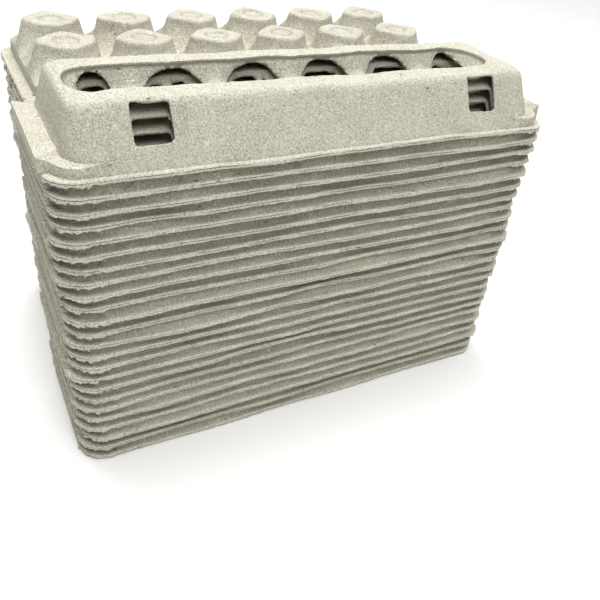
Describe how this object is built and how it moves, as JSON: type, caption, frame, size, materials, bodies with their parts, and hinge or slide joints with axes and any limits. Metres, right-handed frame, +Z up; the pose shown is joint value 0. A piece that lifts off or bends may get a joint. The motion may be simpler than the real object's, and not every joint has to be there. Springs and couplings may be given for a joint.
{
  "type": "stack of pulp egg cartons",
  "caption": "Nested stack of open moulded-pulp egg cartons, each one piece with a vented lid, a hinge web, a tray of egg cups and a locking flap.",
  "frame": {"origin": "on the surface that the stack stands on, below the middle of its box", "axes": "+X along the cartons' length, +Y from the lids to the trays, +Z up through the stack"},
  "size_m": [0.316, 0.23, 0.2227],
  "materials": {
    "pulp": "rough grey-beige moulded paper pulp with dark specks and fibres"
  },
  "bodies": {
    "root": {"carton_01": "pulp", "carton_02": "pulp", "carton_03": "pulp", "carton_04": "pulp", "carton_05": "pulp", "carton_06": "pulp", "carton_07": "pulp", "carton_08": "pulp", "carton_09": "pulp", "carton_10": "pulp", "carton_11": "pulp", "carton_12": "pulp", "carton_13": "pulp", "carton_14": "pulp", "carton_15": "pulp", "carton_16": "pulp", "carton_17": "pulp", "carton_18": "pulp", "carton_19": "pulp", "carton_20": "pulp", "carton_21": "pulp", "carton_22": "pulp", "carton_23": "pulp", "carton_24": "pulp"}
  },
  "joints": []
}
